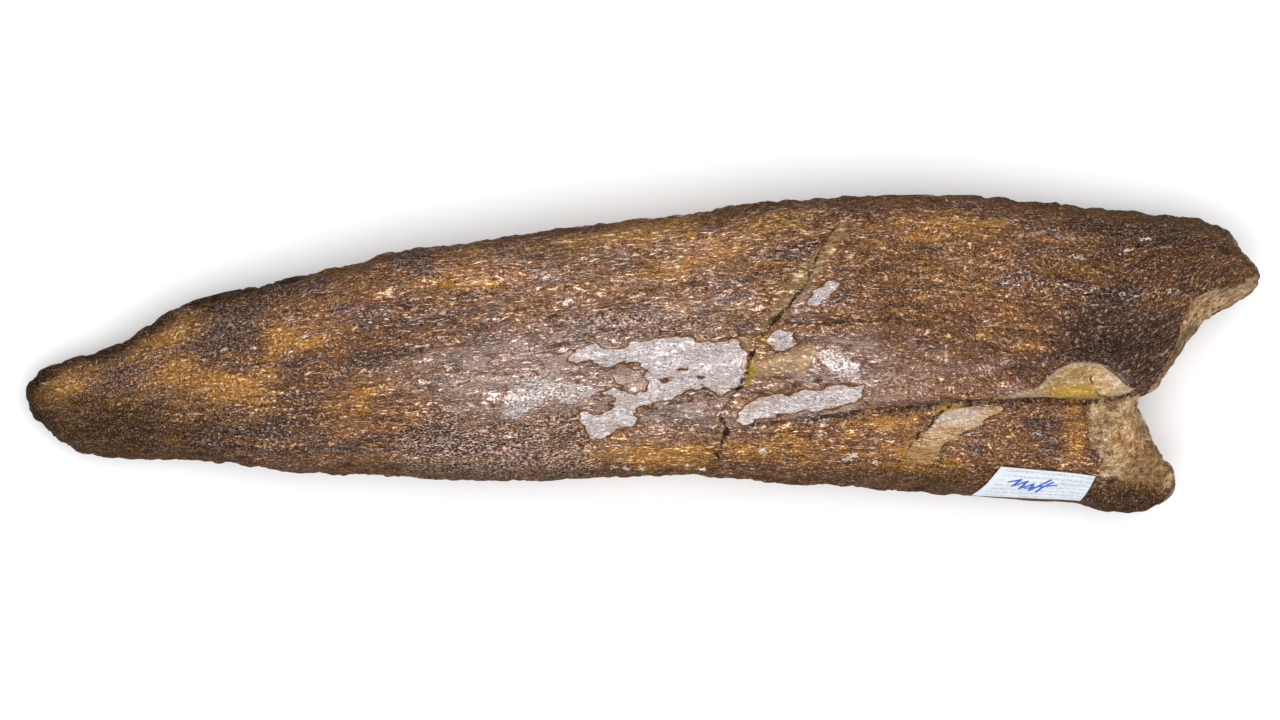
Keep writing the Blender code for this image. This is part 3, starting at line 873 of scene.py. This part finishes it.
class BoneShader(Shader):
    """The fossil bone: its grain first, then each patch and line laid over it in turn."""

    def __init__(self):
        super().__init__("fossil_bone_surface")
        grain = self.attribute("grain", "Vector")
        self.grain = grain
        self.fibrous = self.attribute("fibrous")
        self.even = self.attribute("even")
        grains = self.noise(grain, 0.95, 0.6, detail=3.0, roughness=0.78, seed=1.0)
        self.threads = self.noise(grain, 1.6, 0.46, detail=3.0, roughness=0.76, distortion=0.25, seed=9.0)
        self.fibres = self.blend(self.fibrous, grains, self.threads)
        self.wisps = self.noise(grain, 8.0, 0.85, detail=4.0, roughness=0.62, distortion=0.5, seed=4.0)
        self.strands = self.noise(grain, 3.4, 0.95, detail=2.5, roughness=0.6, distortion=0.3, seed=9.0)
        self.flecks = self.noise(grain, 0.52, 0.27, detail=1.5, roughness=0.6, seed=2.0)
        self.grit = self.noise(grain, 0.34, 0.25, detail=1.0, roughness=0.5, seed=8.0)
        self.tints = self.noise(grain, 4.6, 2.2, detail=4.0, roughness=0.62, seed=12.0)
        self.mottle = self.noise(grain, 4.5, 1.9, detail=4.0, roughness=0.62, seed=3.0)
        edge_noise = self.noise(grain, 1.8, 1.0, detail=3.0, roughness=0.65, seed=5.0)
        self.fray = self.times(self.math("SUBTRACT", edge_noise, 0.5), 2.4)
        drift = self.noise(grain, 1.1, 1.1, detail=3.0, seed=6.0)
        self.wander = self.times(self.math("SUBTRACT", drift, 0.5), 2.1)

        # Where the painted sheen lies, with a wavering edge
        painted_sheen = self.step(self.swayed(self.attribute("painted_sheen"), self.mottle, 1.1), 0.0, 0.95)
        self.painted_sheen = self.times(painted_sheen, self.step(self.attribute("painted_sheen"), 0.02, 0.2))
        warmth = self.swayed(self.attribute("warmth"), self.tints, 3.0)
        warmth = self.swayed(warmth, edge_noise, 1.2)
        warmth = self.swayed(warmth, self.wisps, 1.4)
        self.cool = self.step(warmth, -0.2, -0.34)
        self.warm = self.step(warmth, 0.46, 0.62)
        lightness = self.swayed(self.attribute("lightness"), self.mottle, 1.6)
        self.lightness = self.swayed(lightness, self.wisps, 2.2)
        self.glaze_place = self.span(self.fray, 0.3, self.attribute("glaze"))
        self.glaze = self.step(self.glaze_place, -0.1, 0.1)

    def zone(self, name, low, high, frayed=1.0):
        """A patch's share: 0 below low and 1 above high, in millimetres from its frayed edge."""
        return self.step(self.span(self.fray, frayed, self.attribute(name)), low, high)

    def line(self, name, width, share=1.0):
        """A thin wandering line's share, this wide in millimetres on each side."""
        place = self.math("ABSOLUTE", self.math("ADD", self.attribute(name), self.wander))
        return self.times(self.step(place, width, width * 0.35), share)

    def lay(self, colour, share, strength=1.0):
        """Lays a colour over what is there."""
        if strength != 1.0:
            share = self.times(share, strength)
        self.colour = self.mix(share, self.colour, colour)

    def lay_grain(self):
        """Fibres, pits and cracks between warm, cool and painted-sheen ground, with painted shade on the
        flanks and painted glints.
        """
        strand_lines = self.times(self.ridges(self.strands, 0.02), 0.85)
        self.net = self.math("MAXIMUM", self.times(self.ridges(self.fibres, 0.045), 0.8), strand_lines)
        fine_pits = self.times(self.step(self.flecks, 0.42, 0.34), 0.8)
        pits = self.math("MAXIMUM", self.step(self.fibres, 0.47, 0.38), fine_pits)
        fine_crests = self.times(self.step(self.flecks, 0.56, 0.64), 0.7)
        crests = self.math("MAXIMUM", self.step(self.fibres, 0.52, 0.63), fine_crests)
        self.crests = self.times(crests, self.span(self.step(self.wisps, 0.42, 0.58), 0.4, 0.65))

        body = self.mix(self.warm, self.mix(self.cool, BODY, BODY_COOL), BODY_WARM)
        body = self.mix(self.times(self.even, 0.45), body, BODY_EVEN)
        # Lighter copies of the grain under the painted sheen
        body = self.mix(self.times(self.painted_sheen, 0.75), body, BODY_SHEEN)
        pale = self.mix(self.warm, self.mix(self.cool, PALE, PALE_COOL), PALE_WARM)
        pale = self.mix(self.times(self.painted_sheen, 0.85), pale, PALE_SHEEN)
        gap = self.mix(self.warm, GAP, GAP_WARM)
        gap = self.mix(self.times(self.painted_sheen, 0.6), gap, GAP_SHEEN)

        self.colour = body
        self.lay(pale, self.times(self.crests, self.span(self.even, -0.25, 0.95)))
        self.lay(gap, pits, 0.95)
        self.lay(gap, self.net, 0.8)
        contours = self.times(self.ridges(self.tints, 0.016), self.span(self.painted_sheen, 0.3, 0.5))
        self.lay(CONTOUR, self.times(contours, self.fibrous))
        edge_shade = self.times(self.step(self.attribute("flank"), 0.1, 0.5), -0.6)
        self.colour = self.doubled(self.colour, self.math("ADD", self.lightness, edge_shade))
        # Painted glints: small bright specks, fewer on the even band
        glints = self.times(self.step(self.grit, 0.64, 0.68), self.step(self.flecks, 0.46, 0.54))
        self.lay(GLINT, self.times(glints, self.span(self.even, -0.55, 0.85)))

        # The glitter: darker grain with painted glints
        glitter = self.times(self.zone("glitter", -2.0, 2.0, 2.0), 0.75)
        self.lay(GLITTER_DARK, self.times(glitter, self.step(self.flecks, 0.5, 0.42)))
        self.lay(GLITTER_LIGHT, self.times(glitter, self.step(self.flecks, 0.54, 0.62)))

    def lay_glaze(self):
        """The thin veils of painted sheen, the two painted sheens, and the glazed patches with their painted
        glare and their brown outlines.
        """
        # Thin pale veils of painted sheen, with dark edges, where the sheen lies
        sheen_veil = self.noise(self.grain, 7.5, 2.7, detail=2.0, roughness=0.5, distortion=0.2, seed=21.0)
        sheen_veiled = self.step(self.attribute("painted_sheen"), 0.4, 0.8)
        self.lay(VEIL_SHEEN, self.times(self.step(sheen_veil, 0.5, 0.52), sheen_veiled), 0.3)
        self.lay(VEIL_EDGE, self.times(self.ridges(sheen_veil, 0.022), sheen_veiled), 0.75)

        # The two painted sheens
        sheen = self.mix(self.step(self.flecks, 0.36, 0.54), *SHEEN_COLOURS)
        self.lay(sheen, self.zone("sheen", -0.3, 0.3, 1.3), 0.92)
        # The glaze: intact surface painted pale with glare, with grit, tints and pits
        skin_glare = self.mix(self.step(self.fibres, 0.4, 0.6), *SKIN_GLARE)
        skin_glare = self.mix(self.times(self.step(self.grit, 0.46, 0.4), 0.45), skin_glare, SKIN_GRIT)
        skin_glare = self.mix(self.times(self.step(self.tints, 0.52, 0.6), 0.6), skin_glare, SKIN_TINT)
        skin_glare = self.mix(self.times(self.step(self.flecks, 0.4, 0.33), 0.75), skin_glare, SKIN_PIT)
        self.lay(skin_glare, self.times(self.glaze, self.span(self.painted_sheen, 0.2, 0.75)))
        place = self.glaze_place
        halo = self.times(self.step(place, -0.8, -0.2), self.step(place, 0.2, 0.0))
        self.lay(HALO, halo, 0.6)
        outline = self.times(self.step(place, -0.34, -0.16), self.step(place, 0.04, -0.1))
        self.lay(OUTLINE, self.times(outline, self.span(self.mottle, 0.8, 0.4)))

        # Dirt and painted shade on the flanks, darker the more the surface turns to the side
        self.lay(EDGE_DIRT_AND_SHADE, self.step(self.attribute("flank"), 0.35, 0.8), 0.55)
        lens = self.zone("lens", -0.15, 0.25, 0.5)
        self.lay(self.mix(self.step(self.fibres, 0.42, 0.6), *LENS_COLOURS), lens, 0.85)
        self.lay(LENS_EDGE, self.times(lens, self.step(self.attribute("lens"), 0.45, 0.1)), 0.5)

    def lay_inner_bone(self):
        """The crumbly tan bone of the broken faces, with dark crust on it in places."""
        place = self.attribute("place", "Vector")
        crumbs = self.noise(place, 1.1, 1.1, detail=4.0, roughness=0.7, distortion=0.2, seed=16.0)
        inner = self.mix(self.step(self.mottle, 0.4, 0.6), *INNER_COLOURS)
        inner = self.mix(self.times(self.warm, 0.6), inner, INNER_WARM)
        inner = self.mix(self.times(self.step(crumbs, 0.48, 0.38), 0.9), inner, CRUMB_DARK)
        inner = self.mix(self.times(self.step(crumbs, 0.54, 0.64), 0.7), inner, CRUMB_LIGHT)
        inner = self.mix(self.ridges(crumbs, 0.012), inner, CRUMB_LINE)
        inner = self.doubled(inner, self.times(self.attribute("lightness"), 0.45))
        crust = self.mix(self.step(self.fibres, 0.48, 0.6), *CRUST_COLOURS)
        inner = self.mix(self.times(self.zone("crust", -0.9, 0.9, 1.2), 0.7), inner, crust)
        self.lay(inner, self.zone("inner", -0.3, 0.3, 1.0))

    def lay_chips(self):
        """The chip, the pale flake, the resin, the filling along the crack and the painted shade on the tip's
        upper rim.
        """
        chip = self.zone("chip", -0.3, 0.3, 0.4)
        self.lay(self.mix(self.step(self.fibres, 0.4, 0.6), *CHIP_COLOURS), chip, 0.9)
        self.lay(CHIP_EDGE, self.times(chip, self.step(self.attribute("chip"), 0.7, 0.2)), 0.5)

        flake = self.mix(self.step(self.fibres, 0.4, 0.54), *FLAKE_TAN)
        flake = self.mix(self.times(self.warm, 0.65), flake, FLAKE_WARM)
        flake = self.mix(self.ridges(self.wisps, 0.03), flake, FLAKE_LINE)
        # Where the painted sheen lies the flake is paler, partly its own white and partly painted sheen
        white_sheen = self.mix(self.step(self.fibres, 0.4, 0.54), *FLAKE_WHITE_SHEEN)
        flake = self.mix(self.step(self.attribute("painted_sheen"), 0.0, 1.0), flake, white_sheen)
        share = self.span(self.step(self.threads, 0.38, 0.5), 0.38, 0.62)
        share = self.times(self.zone("chalk", -0.45, 0.45, 1.1), share)
        self.lay(flake, self.times(share, self.span(chip, -0.4, 1.0)))
        depth = self.attribute("chalk")
        edge = self.times(self.step(depth, -0.35, -0.05), self.step(depth, 0.3, 0.05))
        self.lay(FLAKE_EDGE, self.times(edge, self.step(self.mottle, 0.44, 0.56)))

        resin = self.mix(self.step(self.fibres, 0.38, 0.62), *RESIN_COLOURS)
        self.lay(resin, self.zone("resin", -0.5, 0.6, 0.5), 0.9)
        olive = self.mix(self.step(self.fibres, 0.42, 0.58), *OLIVE_COLOURS)
        olive = self.mix(self.times(self.net, 0.75), olive, OLIVE_LINE)
        share = self.span(self.step(self.mottle, 0.42, 0.56), 0.55, 0.2)
        self.lay(olive, self.times(self.zone("olive", -0.6, 1.0, 1.1), share))
        # Painted shade on the tip's steep upper rim
        rim_shade = self.mix(self.step(self.fibres, 0.48, 0.6), *RIM_SHADE)
        self.lay(rim_shade, self.zone("rim", -1.0, 0.4, 1.5), 0.82)

    def lay_lines(self):
        """The cracks, seams and pale lines, with painted shadow and glints along the seam, the pale specks,
        partly chalky and partly painted glints, and the small holes.
        """
        gape = self.step(self.noise(self.grain, 3.0, 3.0, seed=14.0), 0.42, 0.58)
        self.lay(CRACK_COLOUR, self.line("crack", 0.42, self.span(gape, 0.35, 0.62)))
        self.lay(FISSURE_COLOUR, self.line("fissure", 0.38, self.span(gape, 0.4, 0.5)))
        self.lay(LEDGE_COLOUR, self.line("ledge", 0.35, 0.75))
        self.lay(CLEAVAGE_COLOUR, self.line("cleavage", 0.3, 0.9))
        pale_share = self.times(self.step(self.fibres, 0.44, 0.54), 0.7)
        self.lay(PALE_LINE_COLOUR, self.line("pale_line", 0.32, pale_share))
        self.lay(DARK_LINE_COLOUR, self.line("dark_line", 0.42, self.times(gape, 0.75)))
        # Painted shadow under the seam's raised edge, and painted glints along it
        self.lay(SEAM_SHADOW, self.line("seam", 0.5, self.times(gape, 0.6)))
        seam_glints = self.times(self.step(self.flecks, 0.55, 0.6), self.step(self.tints, 0.46, 0.56))
        self.lay(SEAM_GLINT, self.line("seam", 0.62, seam_glints))
        # Small pale specks, partly chalky bone and partly painted glints
        speck = self.swayed(self.attribute("speck"), self.flecks, 2.6)
        self.lay(SPECK_COLOUR, self.step(speck, -0.02, 0.12))
        self.lay(HOLE_COLOUR, self.zone("hole", -0.05, 0.25, 0.4), 0.85)
        self.lay(BRINK_COLOUR, self.line("brink", 0.4, self.step(self.fibres, 0.5, 0.6)))

    def finish(self):
        """The colour, the fine relief and the gloss, which is calmer on the glaze and the even band."""
        calm = self.math("MAXIMUM", self.glaze, self.times(self.even, 0.6))
        height = self.span(self.net, -0.55, self.times(self.crests, 0.35))
        height = self.span(self.mottle, 1.2, height)
        height = self.times(height, self.math("SUBTRACT", 1.0, self.times(calm, 0.8)))
        height = self.span(self.step(self.flecks, 0.3, 0.48), 0.25, height)
        height = self.span(self.glaze, 0.5, height)
        inputs = self.surface.inputs
        self.feed(inputs["Base Color"], self.colour)
        self.feed(inputs["Normal"], self.bump(height, BONE_BUMP))
        self.feed(inputs["Roughness"], self.span(calm, -0.12, 0.45))
        self.feed(inputs["IOR"], BONE_IOR)
        self.feed(inputs["Coat Weight"], BONE_COAT)
        self.feed(inputs["Coat Roughness"], BONE_COAT_ROUGHNESS)
        self.feed(inputs["Coat Normal"], self.bump(height, BONE_COAT_BUMP))
        return self.material


def bone_material():
    shader = BoneShader()
    shader.lay_grain()
    shader.lay_glaze()
    shader.lay_inner_bone()
    shader.lay_chips()
    shader.lay_lines()
    return shader.finish()


def label_sheet():
    """The paper label: a fine sheet over the CAD label's outer side, with its own places in millimetres."""
    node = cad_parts["paper_label"]
    corners = [v.co for v in node.data.vertices]
    tree = BVHTree.FromPolygons(corners, [tuple(p.vertices) for p in node.data.polygons])
    look = LABEL_LOOK.normalized()
    framed = []
    for pixel in LABEL_CORNERS:
        x, y = to_plan(pixel)
        framed.append(min(corners, key=lambda co: (co.x - x) ** 2 + (co.y - y) ** 2))
    upper_left, upper_right, lower_right, lower_left = framed
    width = (upper_right - upper_left).length
    depth = (lower_left - upper_left).length
    points, places = [], []
    for row in range(LABEL_ROWS + 1):
        v = row / LABEL_ROWS
        v_here = LABEL_TRIM + (1 - LABEL_TRIM - LABEL_LOWER_TRIM) * v
        for column in range(LABEL_COLUMNS + 1):
            u = column / LABEL_COLUMNS
            u_here = LABEL_TRIM + (1 - 2 * LABEL_TRIM) * u
            flat = upper_left.lerp(upper_right, u_here).lerp(lower_left.lerp(lower_right, u_here), v_here)
            hit = tree.ray_cast(flat - look * LABEL_LOOK_FROM, look)[0]
            if hit is None:
                hit = tree.find_nearest(flat)[0]
            points.append(hit)
            places.append((u * width / MM, (1 - v) * depth / MM, 0))
    stride = LABEL_COLUMNS + 1
    faces = []
    for row in range(LABEL_ROWS):
        for first in range(row * stride, row * stride + LABEL_COLUMNS):
            faces.append((first, first + stride, first + stride + 1, first + 1))
    mesh = bpy.data.meshes.new("label_paper")
    mesh.from_pydata(points, [], faces)
    places = np.array(places)
    store(mesh, "place", places)
    store(mesh, "pen", np.min([path_distance(places[:, :2], stroke) for stroke in PEN_STROKES], axis=0))
    sheet = new_object("label_paper", mesh)
    solidify = sheet.modifiers.new("thickness", "SOLIDIFY")
    solidify.thickness = LABEL_SHEET
    solidify.offset = -1.0
    mesh.shade_smooth()
    return sheet


def paper_material():
    """Stained paper with plain broken rules and an abstract pen mark."""
    s = Shader("label_paper_surface")
    place = s.attribute("place", "Vector")
    parts = s.node("ShaderNodeSeparateXYZ")
    s.feed(parts.inputs[0], place)
    along, up = parts.outputs[0], parts.outputs[1]
    dashes = s.noise(place, 0.34, 0.5, detail=1.0, seed=3.0)
    runs = s.noise(place, 1.8, 0.6, detail=1.0, seed=4.0)
    in_line = s.math("FRACT", s.math("DIVIDE", up, RULE_SPACING_MM))
    off_rule = s.math("ABSOLUTE", s.math("SUBTRACT", in_line, 0.5))
    rules = s.times(s.step(off_rule, 0.24, 0.15), s.step(dashes, 0.46, 0.51))
    rules = s.times(rules, s.step(runs, 0.4, 0.44))
    rules = s.times(rules, s.times(s.step(along, 1.2, 1.8), s.step(along, 19.6, 19.0)))
    stains = s.noise(place, 5.0, 4.0, detail=3.0, seed=5.0)
    colour = s.mix(s.step(stains, 0.4, 0.7), PAPER, PAPER_STAIN)
    colour = s.mix(s.times(rules, 0.62), colour, RULE_INK)
    colour = s.mix(s.step(s.attribute("pen"), *PEN_EDGE_MM), colour, PEN_INK)
    s.feed(s.surface.inputs["Base Color"], colour)
    s.feed(s.surface.inputs["Roughness"], 0.5)
    s.feed(s.surface.inputs["Normal"], s.bump(s.noise(place, 0.5, 0.5, seed=6.0), PAPER_BUMP))
    return s.material


def floor():
    mesh = bpy.data.meshes.new("floor")
    near, far = -FLOOR_HALF, FLOOR_HALF
    mesh.from_pydata([(near, near, 0), (far, near, 0), (far, far, 0), (near, far, 0)], [], [(0, 1, 2, 3)])
    obj = new_object("floor", mesh)
    s = Shader("pale_floor")
    s.feed(s.surface.inputs["Base Color"], FLOOR_COLOUR)
    s.feed(s.surface.inputs["Roughness"], 0.9)
    s.feed(s.surface.inputs["Specular IOR Level"], 0.1)
    mesh.materials.append(s.material)


def lights():
    """An even pale surround and one soft light above."""
    world = bpy.data.worlds.new("studio")
    bpy.context.scene.world = world
    world.use_nodes = True
    background = world.node_tree.nodes["Background"]
    background.inputs["Color"].default_value = (1.0, 1.0, 1.0, 1.0)
    background.inputs["Strength"].default_value = WORLD_STRENGTH
    data = bpy.data.lights.new("softbox", "AREA")
    data.shape = "RECTANGLE"
    data.size, data.size_y = SOFTBOX_SIZE
    data.energy = SOFTBOX_POWER
    data.color = SOFTBOX_COLOUR
    light = new_object("softbox", data)
    light.location = SOFTBOX_PLACE
    light.rotation_mode = "QUATERNION"
    light.rotation_quaternion = (-SOFTBOX_PLACE).to_track_quat("-Z", "Y")
    light.visible_camera = False
    bpy.context.scene.view_settings.view_transform = "Standard"


def camera():
    """Looks straight down on the middle of the photograph, which it frames exactly at SHARP_HEIGHT."""
    data = bpy.data.cameras.new("camera")
    obj = new_object("camera", data)
    middle = to_plan((PHOTO_SIZE[0] / 2, PHOTO_SIZE[1] / 2))
    obj.location = (*middle, CAMERA_HEIGHT)
    data.sensor_width = SENSOR
    data.lens = SENSOR * (CAMERA_HEIGHT - SHARP_HEIGHT) / (PHOTO_SIZE[0] * PIXEL)
    data.clip_end = CAMERA_REACH
    bpy.context.scene.camera = obj


rib = rib_surface()
rib.data.materials.append(bone_material())
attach(rib, "root")
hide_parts("rib_bone")

label = label_sheet()
label.data.materials.append(paper_material())
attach(label, "root")
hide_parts("paper_label")

floor()
lights()
camera()
